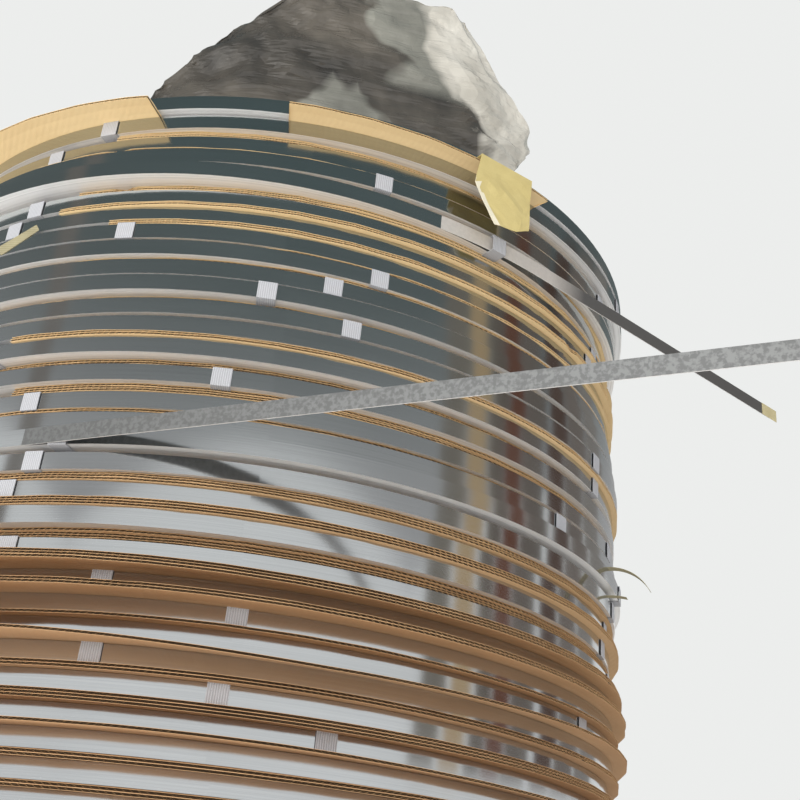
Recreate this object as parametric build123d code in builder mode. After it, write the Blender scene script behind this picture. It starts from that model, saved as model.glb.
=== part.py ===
"""A pile of narrow slit-steel coils with cardboard between them, as it stands on a floor."""

import os
from collections import namedtuple
from math import copysign, cos, radians, sin
from random import Random

from build123d import *

# Driving dimensions in millimetres. Angles are in degrees, from the front (-Y) towards the right (+X).
COIL_RADIUS = 475.0
BORE_RADIUS = 254.0
STRIP_WIDTH = 17.0
STRIP_THICKNESS = 1.0

STRAP_WIDTH = 19.0
STRAP_THICKNESS = 0.6
STRAP_SLACK = 0.3
STRAPS_PER_COIL = 4

PLY_THICKNESS = 2.8
CARD_BORE_RADIUS = 264.0
CARD_SIDES = 48
CARD_BORE_SIDES = 16
GAP_SETBACK = 25.0
SLIDE_ANGLE = -62.0
LAYERS_PER_CARD_NODE = 3

# The low strip end leaves its coil at a tangent. The high one bows out before it runs straight.
LOW_TAIL_ANGLE = -32.6
LOW_TAIL_LENGTH = 745.0
HIGH_TAIL_ANGLE = 12.0
HIGH_TAIL_SWEEP = 19.6
HIGH_TAIL_BOW_RADIUS = 620.0
HIGH_TAIL_LENGTH = 463.0
TAIL_SINK = 0.3
TAPE_LENGTH = 34.0
TAPE_THICKNESS = 0.5

# A tape stuck on a coil's face, and two tapes whose ends lie on a coil and hang out over its rim
FACE_TAPE_ANGLE = -36.0
FACE_TAPE_OUTLINE = [(-28, 11), (22, 29), (28, 21), (-19, -1)]
RIM_TAPE_LAP = 9.0
LONG_RIM_TAPE_ANGLE = 57.0
LONG_RIM_TAPE_WIDTH = 12.0
LONG_RIM_TAPE_DROOP = 52.0
LONG_RIM_TAPE_ARC = 62.0
SHORT_RIM_TAPE_ANGLE = 60.0
SHORT_RIM_TAPE_WIDTH = 9.0
SHORT_RIM_TAPE_DROOP = 90.0
SHORT_RIM_TAPE_ARC = 14.0

# The paper flap lies on the top cardboard and hangs down over the first coils.
# Its outline is (to the right, up) for each corner, seen from outside.
FLAP_ANGLE = 26.0
FLAP_LAP = 20.0
FLAP_THICKNESS = 0.8
FLAP_OUTLINE = [(-36, 0), (37, 0), (35, -69), (18, -78), (-12, -82), (-43, -41)]

# The crumpled film is a heap of flat facets over the front of the top coil, clear of its bore.
# Its sides are (share of the height, angle) for each corner.
FILM_HEIGHT = 255.0
FILM_LEVELS = 8
FILM_SIDES = 22
FILM_RIM_MARGIN = 8.0
FILM_BORE_MARGIN = 22.0
FILM_PEAK_RIM_MARGIN = 38.0
FILM_PEAK_BORE_MARGIN = 125.0
FILM_LEFT = [(0, -35.0), (0.20, -29.0), (0.40, -24.0), (0.75, -10.5), (1, -7.0)]
FILM_RIGHT = [(0, 31.0), (0.48, 42.0), (0.63, 34.0), (1, 23.0)]
FILM_SQUARENESS = 0.35
FILM_FOLD_SHARE = 0.35
FILM_SEED = 4

# A layer is a coil and the cardboard under it. Right and back say how far the coil lies off the pile's
# axis. Overhang is how far the cardboard reaches past the coils, slide how far it has slid out of round,
# and gaps are the angles between which it is set back. Extra is the loose thing on that coil, if any.
Layer = namedtuple("Layer", "right back strap plies overhang slide gaps extra", defaults=(0, (), ""))
LAYERS = [
    Layer(right=10, back=-2, strap=48, plies=1, overhang=28, gaps=((-20.6, -3.1), (34, 104))),
    Layer(right=13, back=4, strap=-29, plies=3, overhang=-8, gaps=((-75, -26.4), (139, 140))),
    Layer(right=6, back=9, strap=-36, plies=2, overhang=-3, gaps=((-76, -75), (94, 95))),
    Layer(right=2, back=0, strap=-80, plies=2, overhang=-5, gaps=((-61, -60), (109, 110))),
    Layer(right=-15, back=-5, strap=29.5, plies=3, overhang=-6, gaps=((-75, -29.9), (100, 101)), extra="high tail"),
    Layer(right=-5, back=8, strap=-35, plies=2, overhang=2, gaps=((-80, -31.6), (129, 130))),
    Layer(right=-4, back=5, strap=-38, plies=2, overhang=3, gaps=((-75, -23.6), (149, 150))),
    Layer(right=-8, back=2, strap=70, plies=1, overhang=0, gaps=((-80, -27.2), (119, 120)), extra="face tape"),
    Layer(right=-7, back=-1, strap=12, plies=1, overhang=-2, gaps=((-71, -70), (99, 100))),
    Layer(right=-4, back=2, strap=6, plies=1, overhang=-7, gaps=((-75, -33.5), (139, 140))),
    Layer(right=-2, back=-3, strap=-2, plies=2, overhang=-7, gaps=((-66, -65), (114, 115))),
    Layer(right=3, back=1, strap=8, plies=2, overhang=-8, gaps=((-51, -50), (89, 90))),
    Layer(right=4, back=-5, strap=-38, plies=2, overhang=9, gaps=((-80, -32.9), (124, 125))),
    Layer(right=-2, back=-4, strap=-36, plies=3, overhang=-6, gaps=((-56, -55), (104, 105))),
    Layer(right=2, back=2, strap=-6, plies=3, overhang=-5, gaps=((-75, -32.3), (134, 135))),
    Layer(right=4, back=8, strap=61, plies=2, overhang=-6, gaps=((-71, -70), (99, 100))),
    Layer(right=5, back=3, strap=42, plies=1, overhang=-8, gaps=((-61, -60), (144, 145))),
    Layer(right=7, back=-8, strap=66, plies=2, overhang=-14, gaps=((-81, -80), (109, 110)), extra="low tail"),
    Layer(right=2, back=-3, strap=-26, plies=3, overhang=3, gaps=((-51, -50), (119, 120)), extra="short tape"),
    Layer(right=-3, back=3, strap=-28, plies=3, overhang=10, gaps=((-66, -65), (94, 95))),
    Layer(right=-5, back=-4, strap=-30, plies=4, overhang=-3, gaps=((-76, -75), (129, 130))),
    Layer(right=-2, back=1, strap=-26, plies=3, overhang=26, slide=18, gaps=((-61, -60), (104, 105))),
    Layer(right=3, back=7, strap=75, plies=2, overhang=32, slide=21, gaps=((-56, -55), (139, 140))),
    Layer(right=1, back=1, strap=0, plies=1, overhang=15, slide=8, gaps=((-71, -70), (114, 115))),
    Layer(right=0, back=0, strap=50, plies=1, overhang=39, slide=29, gaps=((-81, -80), (99, 100))),
    Layer(right=0, back=-2, strap=-14, plies=2, overhang=15, slide=8, gaps=((-61, -60), (124, 125))),
    Layer(right=-5, back=0, strap=0, plies=3, overhang=16, slide=9, gaps=((-66, -65), (109, 110))),
    Layer(right=-8, back=3, strap=12, plies=1, overhang=29, slide=18, gaps=((-76, -75), (134, 135))),
    Layer(right=-6, back=-2, strap=55, plies=2, overhang=23, slide=11, gaps=((-56, -55), (119, 120))),
]

# The lower coils are out of sight and all alike.
HIDDEN_COILS = 6
HIDDEN = Layer(right=0, back=0, strap=30, plies=2, overhang=20)


def card_thickness(plies):
    return plies * PLY_THICKNESS


def card_space(plies):
    """Height from one coil to the next: the plies, with a strap above and below them."""
    return card_thickness(plies) + 2 * STRAP_THICKNESS


def outwards(angle):
    return sin(radians(angle)), -cos(radians(angle))


def level_plane(height, right=0.0, back=0.0, angle=0.0):
    """A level plane whose x runs outwards at the angle."""
    return Plane(origin=(right, back, height), x_dir=(*outwards(angle), 0), z_dir=(0, 0, 1))


def radial_plane(angle, height, right=0.0, back=0.0):
    """A vertical plane through a coil's axis: its x runs outwards at the angle and its y runs up."""
    return Plane(origin=(right, back, height), x_dir=(*outwards(angle), 0), z_dir=(*outwards(angle - 90), 0))


def tangent_plane(angle, height, radius, right=0.0, back=0.0):
    """A vertical plane that touches a circle round a coil's axis: x to the right, y up, seen from outside."""
    out = outwards(angle)
    origin = (right + radius * out[0], back + radius * out[1], height)
    return Plane(origin=origin, x_dir=(*outwards(angle + 90), 0), z_dir=(*out, 0))


def ring(part_plane, outer, bore, thickness):
    """Add a flat ring to the part that is being built."""
    with BuildSketch(part_plane) as face:
        Circle(outer)
        Circle(bore, mode=Mode.SUBTRACT)
    extrude(face.sketch, amount=thickness)


def save(builder, name):
    builder.part.label = name
    export_step(builder.part, f"parts/{name}.step")


# Heights, worked out from the floor up
hidden_bottoms = []
height = card_thickness(1) + STRAP_THICKNESS
for _ in range(HIDDEN_COILS):
    hidden_bottoms.append(height)
    height += STRIP_WIDTH + card_space(HIDDEN.plies)
height -= card_space(HIDDEN.plies)

bottoms = {}
for number in range(len(LAYERS), 0, -1):
    height += card_space(LAYERS[number - 1].plies)
    bottoms[number] = height
    height += STRIP_WIDTH
pile_top = height


BOW_CENTER = (COIL_RADIUS - TAIL_SINK - HIGH_TAIL_BOW_RADIUS, 0)


def bow(angle):
    """How far the bowed turn of the high strip end stands off its coil at this angle."""
    swept = min(max(angle - HIGH_TAIL_ANGLE, 0), HIGH_TAIL_SWEEP)
    return (HIGH_TAIL_BOW_RADIUS - COIL_RADIUS) * (1 - cos(radians(swept)))


def strap_reach(layer, angle):
    """Inner face of a strap where it passes the outside of its coil."""
    reach = COIL_RADIUS + STRAP_SLACK
    if layer.extra == "high tail" and bow(angle) > 0:
        reach += bow(angle) + STRIP_THICKNESS
    return reach


def strap(bottom, layer, angle):
    """One flat woven strap, wrapped once round a coil's section."""
    inner = BORE_RADIUS - STRAP_SLACK
    reach = strap_reach(layer, angle)
    with BuildSketch(radial_plane(angle, bottom + STRIP_WIDTH / 2, layer.right, layer.back)) as band:
        with Locations(((reach + inner) / 2, 0)):
            Rectangle(reach - inner + 2 * STRAP_THICKNESS, STRIP_WIDTH + 2 * STRAP_THICKNESS)
            Rectangle(reach - inner, STRIP_WIDTH, mode=Mode.SUBTRACT)
    return extrude(band.sketch, amount=STRAP_WIDTH / 2, both=True, mode=Mode.PRIVATE)


def coil_straps(bottom, layer):
    """The straps of one coil, evenly spaced from the first one's angle."""
    angles = [layer.strap + turn * 360 / STRAPS_PER_COIL for turn in range(STRAPS_PER_COIL)]
    return [strap(bottom, layer, angle) for angle in angles]


def card(under, layer):
    """Add one layer of cardboard, cut by hand to a many-sided ring and set back at its gaps."""
    outer = COIL_RADIUS + layer.overhang
    with BuildSketch(level_plane(under)) as outline:
        with PolarLocations(layer.slide, 1, SLIDE_ANGLE, rotate=False):
            RegularPolygon(outer, CARD_SIDES)
        for sides in layer.gaps:
            far = [(2 * outer * cos(radians(side)), 2 * outer * sin(radians(side))) for side in sides]
            Polygon((0, 0), *far, align=None, mode=Mode.SUBTRACT)
        RegularPolygon(COIL_RADIUS - GAP_SETBACK, CARD_SIDES)
        RegularPolygon(CARD_BORE_RADIUS, CARD_BORE_SIDES, mode=Mode.SUBTRACT)
    extrude(outline.sketch, amount=card_thickness(layer.plies))


# The coils: one turned ring each, with the strip ends that have come loose
os.makedirs("parts", exist_ok=True)
for number, layer in enumerate(LAYERS, 1):
    bottom = bottoms[number]
    with BuildPart() as coil:
        ring(level_plane(bottom, layer.right, layer.back), COIL_RADIUS, BORE_RADIUS, STRIP_WIDTH)
        if layer.extra == "low tail":
            with BuildSketch(level_plane(bottom, layer.right, layer.back, LOW_TAIL_ANGLE)):
                with Locations((COIL_RADIUS - TAIL_SINK - STRIP_THICKNESS / 2, LOW_TAIL_LENGTH / 2)):
                    Rectangle(STRIP_THICKNESS, LOW_TAIL_LENGTH)
            extrude(amount=STRIP_WIDTH)
        if layer.extra == "high tail":
            with BuildSketch(level_plane(bottom, layer.right, layer.back, HIGH_TAIL_ANGLE)):
                with BuildLine():
                    leave = CenterArc(BOW_CENTER, HIGH_TAIL_BOW_RADIUS - STRIP_THICKNESS / 2, 0, HIGH_TAIL_SWEEP)
                    Line(leave @ 1, leave @ 1 + HIGH_TAIL_LENGTH * (leave % 1))
                trace(line_width=STRIP_THICKNESS)
            extrude(amount=STRIP_WIDTH)
    save(coil, f"coil_{number:02d}")

with BuildPart() as hidden_coils:
    for bottom in hidden_bottoms:
        ring(level_plane(bottom), COIL_RADIUS, BORE_RADIUS, STRIP_WIDTH)
save(hidden_coils, "hidden_coils")

# The cardboard: one ring of plies under each coil
for first in range(1, len(LAYERS) + 1, LAYERS_PER_CARD_NODE):
    last = min(first + LAYERS_PER_CARD_NODE - 1, len(LAYERS))
    with BuildPart() as cardboard:
        for number in range(first, last + 1):
            layer = LAYERS[number - 1]
            card(bottoms[number] - STRAP_THICKNESS - card_thickness(layer.plies), layer)
    save(cardboard, f"cardboard_{first:02d}_{last:02d}")

with BuildPart() as hidden_cardboard:
    card(0, HIDDEN._replace(plies=1))
    for bottom in hidden_bottoms[1:]:
        card(bottom - STRAP_THICKNESS - card_thickness(HIDDEN.plies), HIDDEN)
save(hidden_cardboard, "hidden_cardboard")

# The straps: flat woven bands round each coil but the top one, whose straps are off
bands = []
for number, layer in enumerate(LAYERS, 1):
    if number > 1:
        bands += coil_straps(bottoms[number], layer)
with BuildPart() as straps:
    add(bands)
save(straps, "straps")

hidden_bands = []
for bottom in hidden_bottoms:
    hidden_bands += coil_straps(bottom, HIDDEN)
with BuildPart() as hidden_straps:
    add(hidden_bands)
save(hidden_straps, "hidden_straps")

# The paper flap, bent over the edge of the top cardboard
flap_seat = bottoms[1] - STRAP_THICKNESS
flap_edge = COIL_RADIUS + LAYERS[0].overhang
flap_left, flap_right = FLAP_OUTLINE[0][0], FLAP_OUTLINE[1][0]
with BuildPart() as paper_flap:
    with BuildSketch(tangent_plane(FLAP_ANGLE, flap_seat, flap_edge)):
        Polygon(*FLAP_OUTLINE, align=None)
    extrude(amount=FLAP_THICKNESS)
    with BuildSketch(level_plane(flap_seat, angle=FLAP_ANGLE)):
        with Locations((flap_edge + FLAP_THICKNESS, flap_left)):
            Rectangle(FLAP_LAP + FLAP_THICKNESS, flap_right - flap_left, align=(Align.MAX, Align.MIN))
    extrude(amount=FLAP_THICKNESS)
save(paper_flap, "paper_flap")

# The tapes: one folded over the end of the high strip end, and three loose ones
def coil_with(extra):
    """Underside, right and back of the coil that has this loose thing on it."""
    number = next(number for number, layer in enumerate(LAYERS, 1) if layer.extra == extra)
    return bottoms[number], LAYERS[number - 1].right, LAYERS[number - 1].back


with BuildPart() as tail_tape:
    tape_plane = level_plane(*coil_with("high tail"), HIGH_TAIL_ANGLE)
    with BuildSketch(tape_plane):
        with BuildLine():
            tape_radius = HIGH_TAIL_BOW_RADIUS + TAPE_THICKNESS / 2
            leave = CenterArc(BOW_CENTER, tape_radius, 0, HIGH_TAIL_SWEEP, mode=Mode.PRIVATE)
            start = leave @ 1 + (HIGH_TAIL_LENGTH - TAPE_LENGTH / 2) * (leave % 1)
            Line(start, start + TAPE_LENGTH * (leave % 1))
        trace(line_width=TAPE_THICKNESS)
    extrude(amount=STRIP_WIDTH)
save(tail_tape, "tail_tape")

face_bottom, face_right, face_back = coil_with("face tape")
with BuildPart() as face_tape:
    with BuildSketch(tangent_plane(FACE_TAPE_ANGLE, face_bottom, COIL_RADIUS, face_right, face_back)):
        Polygon(*FACE_TAPE_OUTLINE, align=None)
    extrude(amount=TAPE_THICKNESS)
save(face_tape, "face_tape")


def rim_tape(extra, angle, width, droop, arc):
    """A tape that lies on top of a coil's rim and droops outside it."""
    bottom, right, back = coil_with(extra)
    with BuildPart() as tape:
        with BuildSketch(radial_plane(angle, bottom + STRIP_WIDTH, right, back)):
            with BuildLine():
                middle = TAPE_THICKNESS / 2
                lap = Line((COIL_RADIUS - RIM_TAPE_LAP, middle), (COIL_RADIUS + middle, middle))
                JernArc(lap @ 1, lap % 1, droop, -arc)
            trace(line_width=TAPE_THICKNESS)
        extrude(amount=width / 2, both=True)
    return tape


long_tape = rim_tape("low tail", LONG_RIM_TAPE_ANGLE, LONG_RIM_TAPE_WIDTH, LONG_RIM_TAPE_DROOP,
                     LONG_RIM_TAPE_ARC)
save(long_tape, "long_rim_tape")
short_tape = rim_tape("short tape", SHORT_RIM_TAPE_ANGLE, SHORT_RIM_TAPE_WIDTH, SHORT_RIM_TAPE_DROOP,
                      SHORT_RIM_TAPE_ARC)
save(short_tape, "short_rim_tape")


def at_share(share, corners):
    """The value at this share of the way along a list of (share, value) corners."""
    for (low, first), (high, second) in zip(corners, corners[1:]):
        if share <= high:
            return first + (second - first) * (share - low) / (high - low)


def square_up(value):
    """Moves a sine or cosine nearer to 1 or -1, which squares a circle's corners."""
    return copysign(abs(value) ** FILM_SQUARENESS, value)


# The crumpled film: level by level a loop of corners that the folds pull in, joined by flat facets
folds = Random(FILM_SEED)
levels = []
for level in range(FILM_LEVELS + 1):
    share = level / FILM_LEVELS
    left, right = at_share(share, FILM_LEFT), at_share(share, FILM_RIGHT)
    rim = COIL_RADIUS - FILM_RIM_MARGIN - share * (FILM_PEAK_RIM_MARGIN - FILM_RIM_MARGIN)
    lip = BORE_RADIUS + FILM_BORE_MARGIN + share * (FILM_PEAK_BORE_MARGIN - FILM_BORE_MARGIN)
    corners = []
    for side in range(FILM_SIDES):
        turn = radians(360 * side / FILM_SIDES)
        fold = 1 - FILM_FOLD_SHARE * folds.random() if level > 0 else 1
        radius = (rim + lip) / 2 + (rim - lip) / 2 * square_up(sin(turn)) * fold
        out = outwards((left + right) / 2 - (right - left) / 2 * square_up(cos(turn)))
        place = (LAYERS[0].right + radius * out[0], LAYERS[0].back + radius * out[1])
        corners.append(Vector(*place, pile_top + share * FILM_HEIGHT))
    levels.append(corners)

facets = [levels[0], levels[-1]]
for low, high in zip(levels, levels[1:]):
    for side in range(FILM_SIDES):
        after = (side + 1) % FILM_SIDES
        facets.append([low[side], low[after], high[after]])
        facets.append([low[side], high[after], high[side]])
with BuildPart() as plastic_film:
    add(Solid(Shell([Face(Wire.make_polygon(corners)) for corners in facets])))
save(plastic_film, "plastic_film")
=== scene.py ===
import math
from collections import namedtuple

import bmesh
import bpy
import numpy as np
from mathutils import Matrix, Vector
from mathutils.bvhtree import BVHTree


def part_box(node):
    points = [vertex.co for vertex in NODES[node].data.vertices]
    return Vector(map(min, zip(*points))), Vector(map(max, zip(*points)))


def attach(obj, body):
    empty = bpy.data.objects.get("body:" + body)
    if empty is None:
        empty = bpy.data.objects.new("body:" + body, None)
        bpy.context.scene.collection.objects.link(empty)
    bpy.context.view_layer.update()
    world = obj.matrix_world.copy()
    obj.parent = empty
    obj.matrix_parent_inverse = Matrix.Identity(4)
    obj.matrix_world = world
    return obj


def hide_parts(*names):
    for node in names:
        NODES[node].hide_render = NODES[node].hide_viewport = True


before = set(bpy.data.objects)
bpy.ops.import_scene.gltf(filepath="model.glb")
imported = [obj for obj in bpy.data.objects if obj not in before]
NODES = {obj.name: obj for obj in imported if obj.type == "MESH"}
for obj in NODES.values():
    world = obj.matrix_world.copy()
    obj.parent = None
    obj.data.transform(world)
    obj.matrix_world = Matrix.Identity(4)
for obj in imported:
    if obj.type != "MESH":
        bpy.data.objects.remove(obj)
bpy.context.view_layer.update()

# Everything below is in metres. Angles round the pile run from the front (-Y) towards the right (+X).
COILS = sorted(name for name in NODES if name.startswith("coil_"))
CARD_NODES = sorted(name for name in NODES if name.startswith("cardboard_"))

# A loose strip end: the side it leaves to, where its colour changes along x, both colours, how spotted it is
Tail = namedtuple("Tail", "side change near far spots")
TAILS = {
    "coil_05": Tail("right", (0.31, 0.36), (0.78, 0.74, 0.70, 1), (0.16, 0.16, 0.16, 1), 0.06),
    "coil_18": Tail("front", (-0.2, 0.3), (0.21, 0.215, 0.215, 1), (0.39, 0.395, 0.395, 1), 0.42),
}
NO_TAIL = Tail("", (0.0, 1.0), (0.5, 0.5, 0.5, 1), (0.5, 0.5, 0.5, 1), 0.0)

COIL_RADIUS = 0.475
# What lies further outside a coil's round than this is its loose strip end.
LOOSE_FROM = 0.0008

# The straps: woven bands with ribs along them. Rows of points are for a level side and for an upright one.
STRAP_WIDTH = 0.019
STRAP_THICKNESS = 0.0006
STRAP_RIBS = 9
STRAP_WEFTS = 55
STRAP_COLUMNS = 5
STRAP_ROWS = (6, 4)

# The board: two liners with a wavy medium between them, which shows at the cut edge.
PLY = 0.0028
LINER = 0.0003
FLUTE_PITCH = 0.0065
FLUTE_DEPTH = 0.0014
MEDIUM_SETBACK = 0.0003
SAMPLES_PER_FLUTE = 2
BOARD_COLUMNS = 200

# The medium's wave is lower by up to this share, most of all where the edge cuts straight across the flutes.
FLUTE_FLATTENING = 0.25
# The flutes' direction, in degrees, swings about FLUTE_ANGLE from layer to layer.
FLUTE_ANGLE = 6
FLUTE_SWING = 9
FLUTE_STEP = 2.4

# The cut edge wavers in long waves and short ones, and is nicked: widths are angles in radians.
# A ply stands back by none, one or two staggers. A larger jump in radius than STEP_SIZE is a step.
EDGE_WAVES = 0.0011
EDGE_RIPPLES = 0.0007
PLY_STAGGER = 0.0012
NICKS = 5
NICK_WIDTHS = (0.006, 0.016)
NICK_DEPTHS = (0.001, 0.005)
STEP_SIZE = 0.004
STEP_HALVINGS = 12

# The board sags from SAG_START past the coils on. A layer that reaches further past them than SAG_RINGS_FROM
# has more rings of points, at shares of its width. What starts below LOWEST lies on the floor and stays flat.
SAG_START = 0.006
SAG_SLOPE = 0.15
SAG_WAVES = 0.09
SAG_RINGS_FROM = 0.012
SAG_RINGS = (0.0, 0.80, 0.88, 0.94, 1.0)
FLAT_RINGS = (0.0, 1.0)
LOWEST = 0.01

# Measures that agree to DIGITS decimals are the same. Points nearer than WELD are one point, and heights
# nearer than TOLERANCE are one height.
DIGITS = 5
WELD = 1e-5
TOLERANCE = 1e-4

# The camera stands low in front of the pile and looks up at it.
PHOTO_SIZE = 800
FOCAL_PIXELS = 1123
CAMERA_BACK = 1.434
CAMERA_UNDER_LAST_COIL = 0.1294
CAMERA_YAW = math.radians(7.33)
CAMERA_PITCH = math.radians(26.52)
CAMERA_ROLL = math.radians(5.57)
SENSOR_WIDTH = 36.0


# Small helpers

def wander(angles, seed, waves):
    """Smooth noise from about -1 to 1 that closes on itself round the pile."""
    random = np.random.default_rng(seed)
    total = np.zeros_like(angles)
    for wave in range(1, waves + 1):
        phase = random.uniform(0, 2 * math.pi)
        total += random.uniform(0.4, 1.0) * np.sin(wave * angles + phase)
    return total / math.sqrt(waves)


def smooth_step(value):
    value = np.clip(value, 0.0, 1.0)
    return value * value * (3 - 2 * value)


def blend(first, second, share):
    return tuple(a + (b - a) * share for a, b in zip(first, second))


def darker(color, share):
    return tuple(share * part for part in color[:3]) + (1,)


def points_of(node):
    mesh = NODES[node].data
    points = np.empty(len(mesh.vertices) * 3)
    mesh.vertices.foreach_get("co", points)
    return points.reshape(-1, 3)


def layers_of(node):
    """The points of each solid of a node whose solids lie one above the other, from the top down."""
    points = points_of(node)
    height = points[:, 2]
    pairs = np.unique(np.round(height, DIGITS)).reshape(-1, 2)
    return [points[(height > low - TOLERANCE) & (height < high + TOLERANCE)] for low, high in pairs[::-1]]


def solids_of(node):
    """The separate solids of a CAD node, each as an array of its points."""
    points = points_of(node)
    _, merged = np.unique(np.round(points, DIGITS), axis=0, return_inverse=True)
    merged = merged.ravel()
    leader = list(range(merged.max() + 1))

    def find(item):
        while leader[item] != item:
            leader[item] = leader[leader[item]]
            item = leader[item]
        return item

    for edge in NODES[node].data.edges:
        first, second = (find(int(merged[vertex])) for vertex in edge.vertices)
        leader[first] = second
    roots = np.array([find(int(item)) for item in merged])
    return [points[roots == root] for root in np.unique(roots)]


def grid_faces(columns, rows, around, closed):
    """Four-sided faces over a grid of points, numbered column by column."""
    column = np.arange(columns if around else columns - 1)
    row = np.arange(rows if closed else rows - 1)
    column, row = (part.ravel() for part in np.meshgrid(column, row, indexing="ij"))
    after, above = (column + 1) % columns, (row + 1) % rows
    corners = (column * rows + row, after * rows + row, after * rows + above, column * rows + above)
    return np.stack(corners, axis=1)


def piece_from(name, points, faces, materials, kinds=None):
    """A flat-shaded piece of the object. Kinds say which material each face has."""
    mesh = bpy.data.meshes.new(name)
    mesh.from_pydata(np.asarray(points), [], np.asarray(faces))
    for material in materials:
        mesh.materials.append(material)
    if kinds is not None:
        mesh.polygons.foreach_set("material_index", kinds)
    mesh.polygons.foreach_set("use_smooth", [False] * len(mesh.polygons))
    mesh.update()
    piece = bpy.data.objects.new(name, mesh)
    bpy.context.scene.collection.objects.link(piece)
    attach(piece, "root")
    return piece


def dress(node, material):
    node.data.materials.clear()
    node.data.materials.append(material)


# Materials

class Shader:
    """A node material that is being built."""

    def __init__(self, name):
        self.material = bpy.data.materials.new(name)
        self.material.use_nodes = True
        self.tree = self.material.node_tree
        self.surface = self.tree.nodes["Principled BSDF"]

    def add(self, kind, **inputs):
        node = self.tree.nodes.new(kind)
        for key, value in inputs.items():
            self.link(value, node.inputs[key.replace("_", " ")])
        return node

    def link(self, value, socket):
        if hasattr(value, "links"):
            self.tree.links.new(value, socket)
        else:
            socket.default_value = value

    def math(self, operation, first, second=0.0, third=0.0):
        node = self.tree.nodes.new("ShaderNodeMath")
        node.operation = operation
        self.link(first, node.inputs[0])
        self.link(second, node.inputs[1])
        self.link(third, node.inputs[2])
        return node.outputs[0]

    def mix(self, factor, first, second):
        node = self.tree.nodes.new("ShaderNodeMix")
        node.data_type = "RGBA"
        self.link(factor, node.inputs[0])
        self.link(first, node.inputs[6])
        self.link(second, node.inputs[7])
        return node.outputs[2]

    def ramp(self, factor, *stops):
        """Grey levels or colours along a factor: (place, level or colour) for each stop."""
        node = self.tree.nodes.new("ShaderNodeValToRGB")
        self.link(factor, node.inputs[0])
        elements = node.color_ramp.elements
        while len(elements) < len(stops):
            elements.new(0.5)
        for element, (place, color) in zip(elements, stops):
            element.position = place
            element.color = (color, color, color, 1.0) if isinstance(color, float) else color
        return node.outputs[0]

    def noise(self, vector, scale, detail=2.0, roughness=0.5):
        node = self.tree.nodes.new("ShaderNodeTexNoise")
        self.link(vector, node.inputs["Vector"])
        node.inputs["Scale"].default_value = scale
        node.inputs["Detail"].default_value = detail
        node.inputs["Roughness"].default_value = roughness
        return node.outputs["Fac"]

    def place(self, center=(0.0, 0.0)):
        """x, y and z of the surface point, counted from a centre."""
        coordinates = self.add("ShaderNodeTexCoord")
        split = self.add("ShaderNodeSeparateXYZ", Vector=coordinates.outputs["Object"])
        x = self.math("SUBTRACT", split.outputs[0], center[0])
        y = self.math("SUBTRACT", split.outputs[1], center[1])
        return x, y, split.outputs[2]

    def join(self, x, y, z):
        return self.add("ShaderNodeCombineXYZ", X=x, Y=y, Z=z).outputs[0]

    def distance(self, x, y):
        """How far x and y lead from the centre."""
        squares = self.math("ADD", self.math("MULTIPLY", x, x), self.math("MULTIPLY", y, y))
        return self.math("SQRT", squares)

    def bump(self, height, strength, distance):
        node = self.add("ShaderNodeBump", Height=height)
        node.inputs["Strength"].default_value = strength
        node.inputs["Distance"].default_value = distance
        self.tree.links.new(node.outputs[0], self.surface.inputs["Normal"])

    def set(self, **inputs):
        for key, value in inputs.items():
            self.link(value, self.surface.inputs[key.replace("_", " ")])
        return self.material


# The first two colours are the coil face at the foot and at the top of the pile. Going up, the faces are
# painted darker: a painted reflection of the dark overhead.
STEEL_LOW = (0.76, 0.78, 0.80, 1)
STEEL_HIGH = (0.58, 0.61, 0.61, 1)
STEEL_DUST = (0.75, 0.75, 0.73, 1)
TAIL_SPOT = (0.1, 0.1, 0.1, 1)


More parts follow.
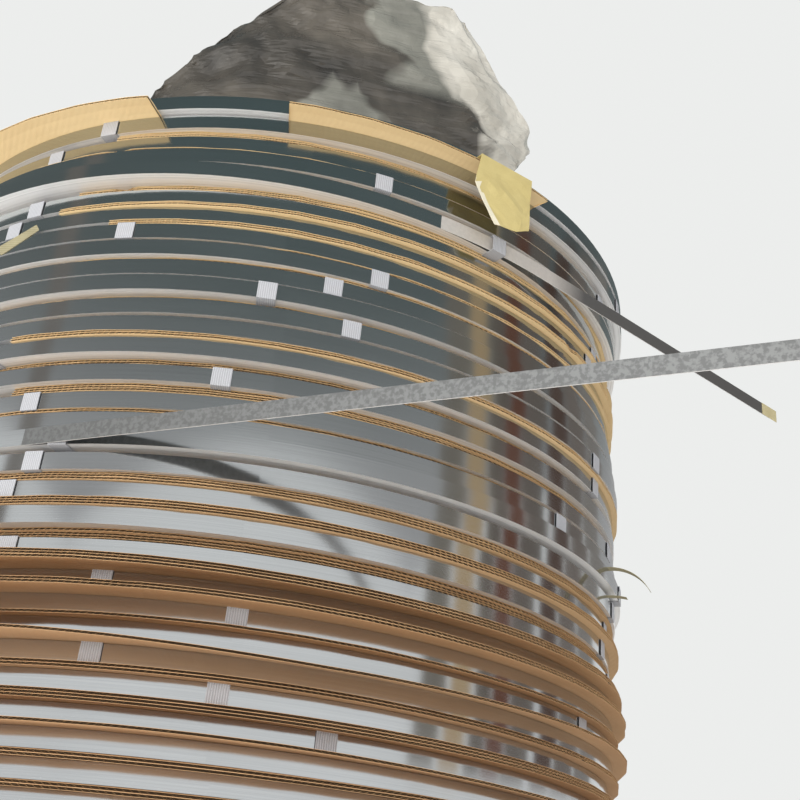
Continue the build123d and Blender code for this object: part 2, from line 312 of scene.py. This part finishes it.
def steel(name, center, seed, tone, tail):
    """Bright rolled strip: the outer face runs with the rolling, and the ends show the turns as fine rings.
    What stands clear of the coil is a loose strip end, duller and mottled."""
    shader = Shader(name)
    x, y, z = shader.place(center)
    point = shader.join(x, y, z)
    radius = shader.distance(x, y)
    bearing = shader.math("ARCTAN2", x, y)
    along = shader.math("MULTIPLY", bearing, 1.5)
    rolled = shader.noise(shader.join(along, seed, shader.math("MULTIPLY", z, 900.0)), 1.0, 3.0)
    broad = shader.math("MULTIPLY", bearing, 2.2)
    clouds = shader.noise(shader.join(broad, seed * 3.1, shader.math("MULTIPLY", z, 12.0)), 1.0, 2.0)
    turns = shader.noise(shader.join(shader.math("MULTIPLY", radius, 430.0), seed * 1.7, 0.0), 1.0, 3.0, 0.7)
    specks = shader.math("GREATER_THAN", shader.noise(point, 620.0, 1.0), 0.80)
    mottle = shader.noise(point, 230.0, 2.0, 0.6)
    geometry = shader.add("ShaderNodeNewGeometry")
    normal = shader.add("ShaderNodeSeparateXYZ", Vector=geometry.outputs["Normal"])
    is_end = shader.math("GREATER_THAN", shader.math("ABSOLUTE", normal.outputs[2]), 0.7)
    is_loose = shader.math("GREATER_THAN", radius, COIL_RADIUS + LOOSE_FROM)
    face = shader.mix(clouds, darker(tone, 0.72), tone)
    face = shader.mix(shader.math("MULTIPLY", rolled, 0.5), face, darker(tone, 0.5))
    face = shader.mix(shader.math("MULTIPLY", specks, 0.5), face, STEEL_DUST)
    start, end = tail.change
    outwards = shader.math("DIVIDE", shader.math("SUBTRACT", x, start), end - start)
    loose = shader.mix(shader.ramp(outwards, (0.0, 0.0), (1.0, 1.0)), tail.near, tail.far)
    spots = shader.ramp(mottle, (0.42, tail.spots), (0.58, 0.0))
    face = shader.mix(is_loose, face, shader.mix(spots, loose, TAIL_SPOT))
    # The ends show the turns as fine rings. Their near-white grey is partly a painted reflection of the
    # bright floor below.
    ends = shader.ramp(turns, (0.28, 0.64), (0.5, 0.85), (0.72, 0.97))
    color = shader.mix(is_end, face, ends)
    rough = shader.math("MULTIPLY_ADD", clouds, 0.08, 0.08)
    rough = shader.math("MULTIPLY_ADD", is_end, 0.34, rough)
    rough = shader.math("MULTIPLY_ADD", is_loose, 0.30, rough)
    height = shader.math("MULTIPLY_ADD", turns, is_end, shader.math("MULTIPLY", rolled, 0.03))
    shader.bump(height, 0.4, 0.0005)
    dulled = shader.math("MAXIMUM", is_end, is_loose)
    metal = shader.math("SUBTRACT", 0.98, shader.math("MULTIPLY", dulled, 0.45))
    return shader.set(Base_Color=color, Metallic=metal, Roughness=rough)


def raw_board(name, dark, light):
    """Torn fibre at the board's cut edge, or the near-black painted shade inside its flutes."""
    shader = Shader(name)
    spots = shader.noise(shader.join(*shader.place()), 260.0, 3.0)
    return shader.set(Base_Color=shader.mix(spots, dark, light), Roughness=0.9)


def board(name, light, dark, flute_angle):
    """Liner paper: fibre clouds, and faint lines where the flutes are glued underneath."""
    shader = Shader(name)
    x, y, z = shader.place()
    point = shader.join(x, y, z)
    across_x = shader.math("MULTIPLY", x, math.cos(flute_angle))
    across = shader.math("MULTIPLY_ADD", y, math.sin(flute_angle), across_x)
    lines = shader.math("SINE", shader.math("MULTIPLY", across, 2 * math.pi / FLUTE_PITCH))
    clouds = shader.noise(point, 9.0, 4.0)
    fibre = shader.noise(point, 700.0, 3.0)
    color = shader.mix(clouds, dark, light)
    color = shader.mix(shader.math("MULTIPLY", fibre, 0.3), color, dark)
    color = shader.mix(shader.math("MULTIPLY_ADD", lines, 0.04, 0.04), color, dark)
    shader.bump(shader.math("MULTIPLY_ADD", lines, 0.35, fibre), 0.35, 0.0004)
    return shader.set(Base_Color=color, Roughness=0.86)


def woven():
    """White woven strap with ribs along its length."""
    shader = Shader("woven_strap")
    coordinates = shader.add("ShaderNodeTexCoord")
    split = shader.add("ShaderNodeSeparateXYZ", Vector=coordinates.outputs["UV"])
    ribs = shader.math("SINE", shader.math("MULTIPLY", split.outputs[0], 2 * math.pi * STRAP_RIBS))
    weft = shader.math("SINE", shader.math("MULTIPLY", split.outputs[1], 2 * math.pi * STRAP_WEFTS))
    rib_light_and_shade = shader.math("MULTIPLY_ADD", ribs, 0.5, 0.5)
    # The grooves between the ribs are painted darker: painted shade.
    color = shader.mix(rib_light_and_shade, (0.36, 0.365, 0.39, 1), (0.50, 0.51, 0.54, 1))
    shader.bump(shader.math("MULTIPLY_ADD", weft, 0.4, ribs), 0.5, 0.0004)
    return shader.set(Base_Color=color, Roughness=0.7)


def paper(name, light, dark):
    """Cloudy paper with a fine grain."""
    shader = Shader(name)
    vector = shader.join(*shader.place())
    clouds = shader.noise(vector, 60.0, 4.0)
    grain = shader.noise(vector, 900.0, 2.0)
    shader.bump(shader.math("ADD", clouds, grain), 0.4, 0.0008)
    return shader.set(Base_Color=shader.mix(clouds, dark, light), Roughness=0.75)


def fibre_tape(name):
    """Weathered olive tape with fine threads in it."""
    shader = Shader(name)
    x, y, z = shader.place()
    across = shader.math("ADD", shader.math("ADD", x, y), z)
    threads = shader.math("SINE", shader.math("MULTIPLY", across, 2600.0))
    clouds = shader.noise(shader.join(x, y, z), 90.0, 3.0)
    color = shader.mix(clouds, (0.17, 0.15, 0.08, 1), (0.34, 0.30, 0.17, 1))
    color = shader.mix(shader.math("MULTIPLY_ADD", threads, 0.2, 0.2), color, (0.50, 0.46, 0.32, 1))
    return shader.set(Base_Color=color, Roughness=0.6)


# The coils keep their CAD shape

def coil_center(name):
    """A coil's axis. A loose strip end makes its box longer on one side."""
    low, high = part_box(name)
    side = TAILS.get(name, NO_TAIL).side
    x = low[0] + COIL_RADIUS if side == "right" else (low[0] + high[0]) / 2
    y = high[1] - COIL_RADIUS if side == "front" else (low[1] + high[1]) / 2
    return x, y


def dress_coils():
    for number, name in enumerate(COILS, 1):
        # Painted reflection: each face is painted paler at the foot of the pile and darker towards its top.
        tone = blend(STEEL_HIGH, STEEL_LOW, smooth_step(number / len(COILS)))
        material = steel(f"steel_{number:02d}", coil_center(name), number, tone, TAILS.get(name, NO_TAIL))
        dress(NODES[name], material)
    dress(NODES["hidden_coils"], steel("steel_hidden", (0, 0), len(COILS) + 1, STEEL_LOW, NO_TAIL))


# The cardboard

class Card:
    """One layer of board under a coil, measured on its CAD solid: a ring whose edge is set back at gaps."""

    def __init__(self, points, tree, number):
        self.number = number
        self.low, self.high = points[:, 2].min(), points[:, 2].max()
        self.plies = max(1, round((self.high - self.low) / PLY))
        radii = np.hypot(points[:, 0], points[:, 1])
        self.outer, self.inner = radii.max(), radii.min()
        self.tree = tree
        even = np.arange(BOARD_COLUMNS) * 2 * math.pi / BOARD_COLUMNS - math.pi
        self.columns = np.unique(np.concatenate((even, self.steps(even))))
        self.reach = np.array([self.measure(angle) for angle in self.columns])
        random = np.random.default_rng(number)
        self.nicks = [
            (random.uniform(-math.pi, math.pi), random.uniform(*NICK_WIDTHS), random.uniform(*NICK_DEPTHS))
            for _ in range(NICKS)]

    def measure(self, angle):
        """Radius of the CAD solid's edge at this angle."""
        out = Vector((math.sin(angle), -math.cos(angle), 0))
        start = out * 2 * self.outer + Vector((0, 0, (self.low + self.high) / 2))
        return 2 * self.outer - self.tree.ray_cast(start, -out)[3]

    def steps(self, angles):
        """Angles on both sides of each step in the edge."""
        reach = [self.measure(angle) for angle in angles]
        found = []
        for index, start in enumerate(angles):
            before, after = start, start + 2 * math.pi / len(angles)
            near, far = reach[index], reach[(index + 1) % len(angles)]
            if abs(near - far) < STEP_SIZE:
                continue
            for _ in range(STEP_HALVINGS):
                middle = (before + after) / 2
                if abs(self.measure(middle) - near) < abs(self.measure(middle) - far):
                    before = middle
                else:
                    after = middle
            found += [before, after]
        return np.array(found)

    def edge(self, angles, ply):
        """The cut edge wavers and is nicked a little, always inside the CAD outline."""
        seed = 100 * self.number + ply
        waver = EDGE_WAVES * (1 + np.clip(wander(angles, seed, waves=6), -1, 1))
        waver += EDGE_RIPPLES * (1 + np.clip(wander(angles, seed + 50, waves=40), -1, 1))
        edge = np.interp(angles, self.columns, self.reach, period=2 * math.pi)
        for middle, width, depth in self.nicks:
            waver += depth * np.clip(1 - np.abs(angles - middle) / width, 0, 1)
        return edge - waver - PLY_STAGGER * ((ply * 7) % 3)

    def sag(self, radii, angles):
        """How far the board drops, in waves, where it reaches past the coils."""
        past = np.maximum(radii - COIL_RADIUS - SAG_START, 0.0)
        slope = SAG_SLOPE + SAG_WAVES * np.clip(wander(angles, self.number, waves=5), -1, 1)
        return -past * slope if self.low > LOWEST else 0 * past


def liner(card, ply, bottom):
    """One sheet of liner paper as a closed thin ring."""
    overhangs = card.outer - COIL_RADIUS > SAG_RINGS_FROM
    shares = np.array(SAG_RINGS if overhangs else FLAT_RINGS)
    angles = card.columns[:, None]
    edge = card.edge(card.columns, ply)[:, None]
    radii = card.inner + (edge - card.inner) * shares[None, :]
    heights = bottom + card.sag(radii, angles)
    x, y = radii * np.sin(angles), -radii * np.cos(angles)
    lower = np.stack((x, y, heights), axis=2)
    upper = np.stack((x, y, heights + LINER), axis=2)[:, ::-1]
    points = np.concatenate((lower, upper), axis=1)
    return points.reshape(-1, 3), grid_faces(len(card.columns), 2 * len(shares), True, True)


def flute_shade_sheet(card, ply, bottom):
    """A near-black sheet behind the cut edge: painted shade inside the flutes."""
    angles = card.columns[:, None]
    radii = card.edge(card.columns, ply)[:, None] - FLUTE_DEPTH + np.zeros(2)
    heights = bottom + card.sag(radii, angles) + np.array((LINER, PLY - LINER))
    points = np.stack((radii * np.sin(angles), -radii * np.cos(angles), heights), axis=2)
    return points.reshape(-1, 3), grid_faces(len(card.columns), 2, True, False)


def medium(card, ply, bottom, flute_angle):
    """The wavy sheet between two liners, where it shows at the cut edge."""
    columns = int(SAMPLES_PER_FLUTE * 2 * math.pi * card.outer / FLUTE_PITCH)
    angles = np.arange(columns) * 2 * math.pi / columns - math.pi
    edge = card.edge(angles, ply) - MEDIUM_SETBACK
    radii = np.stack((edge - FLUTE_DEPTH, edge), axis=1)
    angles = angles[:, None]
    swing = (PLY - 2 * LINER) / 2
    zigzag = np.where(np.arange(columns) % 2, 1.0, -1.0)[:, None]
    flattened = 1 - FLUTE_FLATTENING * np.abs(np.cos(angles - flute_angle))
    heights = bottom + PLY / 2 + card.sag(radii, angles) + swing * zigzag * flattened
    points = np.stack((radii * np.sin(angles), -radii * np.cos(angles), heights), axis=2)
    return points.reshape(-1, 3), grid_faces(columns, 2, True, False)


def build_card(node, card, materials, flute_angle):
    """All plies of one layer, joined to one mesh."""
    points, faces, kinds = [], [], []
    count = 0
    for ply in range(card.plies):
        bottom = card.low + ply * PLY
        # Kind 2 is a near-black sheet of painted shade inside the flutes.
        parts = ((liner(card, ply, bottom), 0), (liner(card, ply, bottom + PLY - LINER), 0),
                 (medium(card, ply, bottom, flute_angle), 1), (flute_shade_sheet(card, ply, bottom), 2))
        for (part_points, part_faces), kind in parts:
            points.append(part_points)
            faces.append(part_faces + count)
            kinds += [kind] * len(part_faces)
            count += len(part_points)
    points, faces = np.concatenate(points), np.concatenate(faces)
    piece = piece_from(f"card_{card.number:02d}", points, faces, materials, kinds)
    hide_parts(node)


# The liners' light and dark colours at the pile's top and bottom, and how they change with the height
BOARD_TOP = ((0.90, 0.70, 0.40, 1), (0.78, 0.57, 0.30, 1))
BOARD_BOTTOM = ((0.62, 0.39, 0.21, 1), (0.47, 0.28, 0.14, 1))
TONE_RISE = 1.3
TONE_START = 0.25
# Dark and light colours of the torn fibre, and of the painted shade inside the flutes
BOARD_EDGE = ((0.46, 0.28, 0.13, 1), (0.80, 0.58, 0.32, 1))
PAINTED_FLUTE_SHADE = ((0.02, 0.012, 0.006, 1), (0.05, 0.03, 0.015, 1))


def dress_cards():
    edge = raw_board("board_edge", *BOARD_EDGE)
    # The near-black material is painted shade inside the flutes.
    depth = raw_board("painted_flute_shade", *PAINTED_FLUTE_SHADE)
    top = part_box(COILS[0])[1][2]
    number = 0
    for node in CARD_NODES + ["hidden_cardboard"]:
        facets = [tuple(face.vertices) for face in NODES[node].data.polygons]
        tree = BVHTree.FromPolygons(points_of(node).tolist(), facets)
        for points in layers_of(node):
            number += 1
            card = Card(points, tree, number)
            share = float(smooth_step(card.low / top * TONE_RISE - TONE_START))
            light, dark = (blend(low, high, share) for low, high in zip(BOARD_BOTTOM, BOARD_TOP))
            flute_angle = math.radians(FLUTE_ANGLE + FLUTE_SWING * math.sin(FLUTE_STEP * number))
            liners = board(f"board_{number:02d}", light, dark, flute_angle)
            build_card(node, card, (liners, edge, depth), flute_angle)


# The straps

def strap_band(name, node, points, material):
    """One woven band round a coil's section."""
    low, high = points[:, 2].min(), points[:, 2].max()
    middle = points.mean(axis=0)

    def height_from(coil):
        return abs(sum(corner[2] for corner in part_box(coil)) / 2 - middle[2])

    owner = min(COILS, key=height_from)
    center = coil_center(owner) if node == "straps" else (0.0, 0.0)
    angle = math.atan2(middle[0] - center[0], center[1] - middle[1])
    out = np.array((math.sin(angle), -math.cos(angle)))
    side = np.array((math.cos(angle), math.sin(angle)))
    reach = (points[:, :2] - center) @ out
    near, far = reach.min(), reach.max()
    loop = [(near, low), (far, low), (far, high), (near, high)]
    rows = []
    for index, start in enumerate(loop):
        end = loop[(index + 1) % len(loop)]
        steps = STRAP_ROWS[index % 2]
        rows += [blend(start, end, step / steps) for step in range(steps)]
    across = (np.arange(STRAP_COLUMNS) / (STRAP_COLUMNS - 1) - 0.5) * STRAP_WIDTH
    verts = [(*(np.array(center) + out * radius + side * offset), height)
             for offset in across for radius, height in rows]
    faces = grid_faces(STRAP_COLUMNS, len(rows), False, True)
    band = piece_from(name, verts, faces, (material,))
    layer = band.data.uv_layers.new(name="along")
    column, row = faces[:, 0] // len(rows), faces[:, 0] % len(rows)
    corners = np.array(((0, 0), (1, 0), (1, 1), (0, 1)))
    coords = (np.stack((column, row), axis=1)[:, None] + corners) / (STRAP_COLUMNS - 1, len(rows))
    layer.data.foreach_set("uv", coords.ravel())
    thick = band.modifiers.new("thickness", "SOLIDIFY")
    thick.thickness = STRAP_THICKNESS
    thick.offset = 1
    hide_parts(node)


def dress_straps():
    material = woven()
    for node in ("straps", "hidden_straps"):
        for number, points in enumerate(solids_of(node), 1):
            strap_band(f"{node[:-1]}_{number:03d}", node, points, material)


# The crumpled film and the paper flap: the CAD's own facets, cut finer and creased

# Three sizes of crease: share of the depth, width of a facet, seed. They sink the sheet more than raise it.
FILM_CREASES = ((0.55, 0.048, 2), (0.45, 0.021, 3), (0.25, 0.011, 4))
FILM_CREASE_DEPTH = 0.006
FILM_CREASE_SINK = 0.9
# Where the dark part ends at a fold and where the milky lobe starts: share up the film, share across it.
# Both lines waver, and past the fold the film is grey from a share of its height on.
FILM_FOLD = ((0.20, 0.60), (0.57, 0.65), (0.80, 0.55))
FILM_LOBE = ((0.30, 0.86), (0.50, 0.74), (0.90, 0.67))
FILM_WAVER = 0.25
FILM_SOFTNESS = 0.03
FILM_GREY_FROM = (0.38, 0.46)
# A grey patch low on the film that narrows upwards
PATCH_MIDDLE = 0.53
PATCH_TOP = 0.40
PATCH_TAPER = 2.1
PATCH_SOFTNESS = 0.05
# Darker and lighter colours of the film's painted shade, dark and grey, where the shadowed coil shows through
# it, and of its milky lobe
FILM_TONES = (((0.042, 0.040, 0.037, 1), (0.125, 0.112, 0.095, 1)),
              ((0.17, 0.17, 0.15, 1), (0.28, 0.28, 0.245, 1)),
              ((0.46, 0.44, 0.39, 1), (0.68, 0.66, 0.60, 1)))

# The flap faces this way. It has folds of two sizes (depth, width, seed), which fade in below its bend.
FLAP_OUT = math.radians(26)
FLAP_FOLDS = ((0.0016, 0.034, 6), (0.0007, 0.012, 7))
FLAP_BEND = 0.02
# The tear's slope, where it starts on the left edge, how wide its white fibre is and how much that wavers
FLAP_TEAR = math.radians(37)
FLAP_TEAR_START = 0.041
TORN_WIDTH = 0.004
TORN_WAVER = 0.003
TORN_GRAIN = 0.006
TORN_SEED = 8
# Light and dark colours
FLAP_PAPER = ((0.64, 0.54, 0.24, 1), (0.50, 0.40, 0.155, 1))
TORN_PAPER = ((0.80, 0.76, 0.62, 1), (0.70, 0.64, 0.48, 1))
MASKING_TAPE = ((0.62, 0.55, 0.33, 1), (0.45, 0.38, 0.20, 1))


def crease_noise(x, y, cell, seed):
    """Height of a crumpled sheet: flat facets between random corner heights, from -1 to 1."""
    u = (x + y / math.sqrt(3)) / cell
    v = 2 * y / math.sqrt(3) / cell
    u, v = u + 0.45 * np.sin(1.9 * v + seed), v + 0.45 * np.sin(2.3 * u + 2 * seed)
    i, j = np.floor(u), np.floor(v)
    a, b = u - i, v - j

    def corner(p, q):
        value = np.sin(p * 127.1 + q * 311.7 + seed * 74.7) * 43758.5453
        return 2 * (value - np.floor(value)) - 1

    near = corner(i, j) * (1 - a - b) + corner(i + 1, j) * a + corner(i, j + 1) * b
    far = corner(i + 1, j + 1) * (a + b - 1) + corner(i, j + 1) * (1 - a) + corner(i + 1, j) * (1 - b)
    return np.where(a + b < 1, near, far)


def film_material():
    """Thin glossy film: painted shade, dark on the left and grey past a fold, where the shadowed coil shows
    through the clear film, and a milky right lobe.
    """
    shader = Shader("plastic_film")
    low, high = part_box("plastic_film")
    x, y, z = shader.place()
    vector = shader.join(x, y, z)
    clouds = shader.noise(vector, 11.0, 3.0)
    broad, fine = (shader.math("ABSOLUTE", shader.math("SUBTRACT", shader.noise(vector, scale, 2.0), 0.5))
                   for scale in (13.0, 37.0))
    across = shader.math("DIVIDE", shader.math("SUBTRACT", x, low[0]), high[0] - low[0])
    across = shader.math("MULTIPLY_ADD", broad, FILM_WAVER, across)
    up = shader.math("DIVIDE", shader.math("SUBTRACT", z, low[2]), high[2] - low[2])
    past_fold = shader.math("SUBTRACT", across, shader.ramp(up, *FILM_FOLD))
    past_lobe = shader.math("SUBTRACT", across, shader.ramp(up, *FILM_LOBE))
    lobe = shader.ramp(past_lobe, (0.0, 0.0), (FILM_SOFTNESS, 1.0))
    grey = shader.ramp(past_fold, (0.0, 0.0), (FILM_SOFTNESS, 1.0))
    grey_from, grey_full = FILM_GREY_FROM
    grey = shader.math("MULTIPLY", grey, shader.ramp(up, (grey_from, 0.0), (grey_full, 1.0)))
    aside = shader.math("ABSOLUTE", shader.math("SUBTRACT", across, PATCH_MIDDLE))
    patch = shader.math("SUBTRACT", PATCH_TOP, shader.math("MULTIPLY_ADD", aside, PATCH_TAPER, up))
    grey = shader.math("MAXIMUM", grey, shader.ramp(patch, (0.0, 0.0), (PATCH_SOFTNESS, 1.0)))
    cloudy = shader.ramp(clouds, (0.35, 0.0), (0.65, 1.0))
    # The dark and the grey tones are painted shade of the shadowed coil seen through the film.
    dark, thin, milky = (shader.mix(cloudy, *tones) for tones in FILM_TONES)
    color = shader.mix(lobe, shader.mix(grey, dark, thin), milky)
    shader.bump(shader.math("ADD", broad, shader.math("MULTIPLY", fine, 0.3)), 0.6, 0.02)
    return shader.set(Base_Color=color, Roughness=0.14, Alpha=0.97)


def finer(node, cuts, softening, open_under=False):
    """Points, normals and faces of a CAD node, welded, cut finer and softened."""
    mesh = bmesh.new()
    mesh.from_mesh(NODES[node].data)
    bmesh.ops.remove_doubles(mesh, verts=mesh.verts, dist=WELD)
    if open_under:
        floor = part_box(node)[0][2] + TOLERANCE
        under = [face for face in mesh.faces if face.calc_center_median().z < floor]
        bmesh.ops.delete(mesh, geom=under, context="FACES_ONLY")
    bmesh.ops.triangulate(mesh, faces=mesh.faces)
    bmesh.ops.subdivide_edges(mesh, edges=mesh.edges, cuts=cuts, use_grid_fill=True)
    for _ in range(softening):
        inner = [vertex for vertex in mesh.verts if not vertex.is_boundary]
        bmesh.ops.smooth_vert(mesh, verts=inner, factor=0.5,
                              use_axis_x=True, use_axis_y=True, use_axis_z=True)
    mesh.normal_update()
    mesh.verts.index_update()
    points = np.array([vertex.co[:] for vertex in mesh.verts])
    normals = np.array([vertex.normal[:] for vertex in mesh.verts])
    faces = [[vertex.index for vertex in face.verts] for face in mesh.faces]
    mesh.free()
    return points, normals, faces


def build_film():
    """A thin sheet heaped up over the front of the top coil, open underneath."""
    points, normals, faces = finer("plastic_film", cuts=8, softening=5, open_under=True)
    x, y, z = points.T
    floor = z.min()
    directions = ((x + 0.7 * y, z + 0.5 * y), (x - y, z), (x + y, z - x))
    crease = sum(share * crease_noise(u, v, cell, seed)
                 for (u, v), (share, cell, seed) in zip(directions, FILM_CREASES))
    points = points + normals * (FILM_CREASE_DEPTH * (crease - FILM_CREASE_SINK))[:, None]
    points[:, 2] = np.clip(points[:, 2], floor, None)
    sheet = piece_from("film", points, faces, (film_material(),))
    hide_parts("plastic_film")


def build_flap():
    """Stiff yellow paper with a few folds across it, torn white along its lower left edge."""
    points, _, faces = finer("paper_flap", cuts=8, softening=0)
    x, y, z = points.T
    along = x * math.cos(FLAP_OUT) + y * math.sin(FLAP_OUT)
    across = along - along.min()
    down = z.max() - z
    folds = sum(depth * crease_noise(along, z, cell, seed) for depth, cell, seed in FLAP_FOLDS)
    hangs = smooth_step(down / FLAP_BEND)
    from_tear = across * math.cos(FLAP_TEAR) - (down - FLAP_TEAR_START) * math.sin(FLAP_TEAR)
    inside, lower = (value[np.array(faces)].mean(axis=1) for value in (from_tear, down))
    torn = inside < TORN_WIDTH + TORN_WAVER * crease_noise(inside, lower, TORN_GRAIN, TORN_SEED)
    points = points + np.array((math.sin(FLAP_OUT), -math.cos(FLAP_OUT), 0)) * (folds * hangs)[:, None]
    materials = (paper("flap_paper", *FLAP_PAPER), paper("torn_paper", *TORN_PAPER))
    flap = piece_from("flap", points, faces, materials, torn.astype(int))
    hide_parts("paper_flap")


# The tapes keep their CAD shape

def dress_tapes():
    dress(NODES["tail_tape"], paper("masking_tape", *MASKING_TAPE))
    for node in ("face_tape", "long_rim_tape", "short_rim_tape"):
        dress(NODES[node], fibre_tape(node))


# Camera, light and surroundings

FLOOR_HALF = 6.0
FLOOR_UNDER = 0.0005
FLOOR_GLOW = 1.0
FLOOR_GLOW_COLOR = (1.0, 0.97, 0.92, 1)
CEILING_HALF = 5.0
CEILING_HEIGHT = 2.4
# The ceiling's colours and where they lie: its centre, and the share of its half width out from there
CEILING_CENTER = (0.0, -0.5)
CEILING_COLORS = (
    (0.40, (0.09, 0.13, 0.135, 1)),
    (0.62, (0.14, 0.165, 0.165, 1)),
    (1.0, (0.42, 0.42, 0.42, 1)),
)
# Standing cards, all but the last to the right: bearing and width in degrees, colour
STREAK_DISTANCE = 2.6
STREAK_LOW, STREAK_HIGH = 0.5, 3.2
STREAKS = (
    (50, 7, (0.20, 0.18, 0.15, 1)),
    (58, 6, (0.50, 0.36, 0.20, 1)),
    (65, 5, (0.14, 0.12, 0.10, 1)),
    (71, 6, (0.15, 0.055, 0.03, 1)),
    (79, 9, (0.17, 0.145, 0.125, 1)),
    (90, 8, (0.10, 0.06, 0.045, 1)),
    (100, 10, (0.20, 0.17, 0.15, 1)),
    (112, 12, (0.26, 0.24, 0.22, 1)),
    (-62, 6, (0.22, 0.20, 0.18, 1)),
)
WORLD_STRENGTH = 0.85
BACKGROUND = (0.84, 0.85, 0.84, 1)
Lamp = namedtuple("Lamp", "name place target size power color")
LAMPS = (
    Lamp("key", (-2.2, -2.8, 1.0), (0, 0, 0.5), (1.6, 1.2), 30, (1.0, 0.99, 0.97)),
    Lamp("low", (-0.8, -2.4, 0.2), (0, 0, 0.7), (2.0, 0.3), 14, (1.0, 0.98, 0.95)),
)


def build_camera():
    cos_yaw, sin_yaw = math.cos(CAMERA_YAW), math.sin(CAMERA_YAW)
    cos_pitch, sin_pitch = math.cos(CAMERA_PITCH), math.sin(CAMERA_PITCH)
    forward = Vector((sin_yaw * cos_pitch, cos_yaw * cos_pitch, sin_pitch))
    level = Vector((cos_yaw, -sin_yaw, 0))
    upright = level.cross(forward)
    right = level * math.cos(CAMERA_ROLL) + upright * math.sin(CAMERA_ROLL)
    up = upright * math.cos(CAMERA_ROLL) - level * math.sin(CAMERA_ROLL)
    data = bpy.data.cameras.new("camera")
    data.sensor_width = SENSOR_WIDTH
    data.lens = SENSOR_WIDTH * FOCAL_PIXELS / PHOTO_SIZE
    camera = bpy.data.objects.new("camera", data)
    bpy.context.scene.collection.objects.link(camera)
    turn = Matrix((right, up, -forward)).transposed().to_4x4()
    place = Vector((0, -CAMERA_BACK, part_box(COILS[-1])[0][2] - CAMERA_UNDER_LAST_COIL))
    camera.matrix_world = Matrix.Translation(place) @ turn
    bpy.context.scene.camera = camera


def panel(name, corners, material):
    """A flat four-sided piece of the studio."""
    mesh = bpy.data.meshes.new(name)
    mesh.from_pydata(corners, [], [(0, 1, 2, 3)])
    mesh.materials.append(material)
    piece = bpy.data.objects.new(name, mesh)
    bpy.context.scene.collection.objects.link(piece)
    return piece


def only_mirrored(piece):
    """A studio card that shows in reflections and neither lights nor shades anything."""
    piece.visible_camera = False
    piece.visible_diffuse = False
    piece.visible_shadow = False
    piece.visible_transmission = False


def glow(shader, color):
    """Finishes the material of a studio card, which only gives off its colour."""
    return shader.set(Base_Color=(0, 0, 0, 1), Roughness=1.0, Emission_Color=color, Emission_Strength=1.0,
                      Specular_IOR_Level=0.0)


def floor_material():
    """Pale concrete. It throws sunlight up at the pile, more on the left. The camera sees none of that."""
    shader = Shader("floor")
    x, y, z = shader.place()
    grain = shader.noise(shader.join(x, y, z), 40.0, 3.0)
    color = shader.mix(grain, (0.66, 0.66, 0.65, 1), (0.72, 0.72, 0.71, 1))
    left = shader.ramp(shader.math("MULTIPLY_ADD", x, -0.4, 0.5), (0.15, 0.25), (0.75, 1.0))
    unseen = shader.math("SUBTRACT", 1.0, shader.add("ShaderNodeLightPath").outputs["Is Camera Ray"])
    strength = shader.math("MULTIPLY", shader.math("MULTIPLY", left, FLOOR_GLOW), unseen)
    return shader.set(Base_Color=color, Roughness=0.9, Emission_Color=FLOOR_GLOW_COLOR,
                      Emission_Strength=strength)


def ceiling_material():
    """Dark blue-green overhead, greyer further off."""
    shader = Shader("ceiling")
    x, y, _ = shader.place(CEILING_CENTER)
    far = shader.math("DIVIDE", shader.distance(x, y), CEILING_HALF)
    return glow(shader, shader.ramp(far, *CEILING_COLORS))


def level_square(half, height, facing):
    """Corners of a level square that faces up, or down where facing is -1."""
    near, far = -facing * half, facing * half
    return [(-half, near, height), (half, near, height), (half, far, height), (-half, far, height)]


def build_studio():
    panel("floor", level_square(FLOOR_HALF, -FLOOR_UNDER, 1), floor_material())
    only_mirrored(panel("ceiling", level_square(CEILING_HALF, CEILING_HEIGHT, -1), ceiling_material()))
    for number, (bearing, width, color) in enumerate(STREAKS, 1):
        sides = [math.radians(bearing + width * share) for share in (-0.5, 0.5)]
        (x0, y0), (x1, y1) = ((STREAK_DISTANCE * math.sin(side), -STREAK_DISTANCE * math.cos(side))
                              for side in sides)
        corners = [(x0, y0, STREAK_LOW), (x1, y1, STREAK_LOW), (x1, y1, STREAK_HIGH), (x0, y0, STREAK_HIGH)]
        name = f"streak_{number}"
        only_mirrored(panel(name, corners, glow(Shader(name), color)))


def build_world():
    """Soft even light, and the same pale background for the camera, the metal and the film."""
    world = bpy.data.worlds.new("studio")
    world.use_nodes = True
    bpy.context.scene.world = world
    tree = world.node_tree
    nodes, links = tree.nodes, tree.links
    light = nodes["Background"]
    light.inputs[0].default_value = (1.0, 1.0, 1.0, 1)
    light.inputs[1].default_value = WORLD_STRENGTH
    seen = nodes.new("ShaderNodeBackground")
    seen.inputs[0].default_value = BACKGROUND
    path = nodes.new("ShaderNodeLightPath")
    shown = path.outputs["Is Camera Ray"]
    for ray in ("Is Glossy Ray", "Is Transmission Ray"):
        either = nodes.new("ShaderNodeMath")
        either.operation = "MAXIMUM"
        links.new(shown, either.inputs[0])
        links.new(path.outputs[ray], either.inputs[1])
        shown = either.outputs[0]
    final = nodes.new("ShaderNodeMixShader")
    links.new(shown, final.inputs[0])
    links.new(light.outputs[0], final.inputs[1])
    links.new(seen.outputs[0], final.inputs[2])
    links.new(final.outputs[0], nodes["World Output"].inputs[0])


def build_lamp(name, place, target, size, power, color):
    data = bpy.data.lights.new(name, "AREA")
    data.shape = "RECTANGLE"
    data.size, data.size_y = size
    data.energy = power
    data.color = color
    lamp = bpy.data.objects.new(name, data)
    lamp.location = place
    lamp.rotation_euler = (Vector(target) - Vector(place)).to_track_quat("-Z", "Y").to_euler()
    lamp.visible_glossy = False
    bpy.context.scene.collection.objects.link(lamp)


build_camera()
build_world()
build_studio()
for lamp in LAMPS:
    build_lamp(*lamp)
dress_coils()
dress_cards()
dress_straps()
build_film()
build_flap()
dress_tapes()

bpy.context.scene.view_settings.view_transform = "Standard"
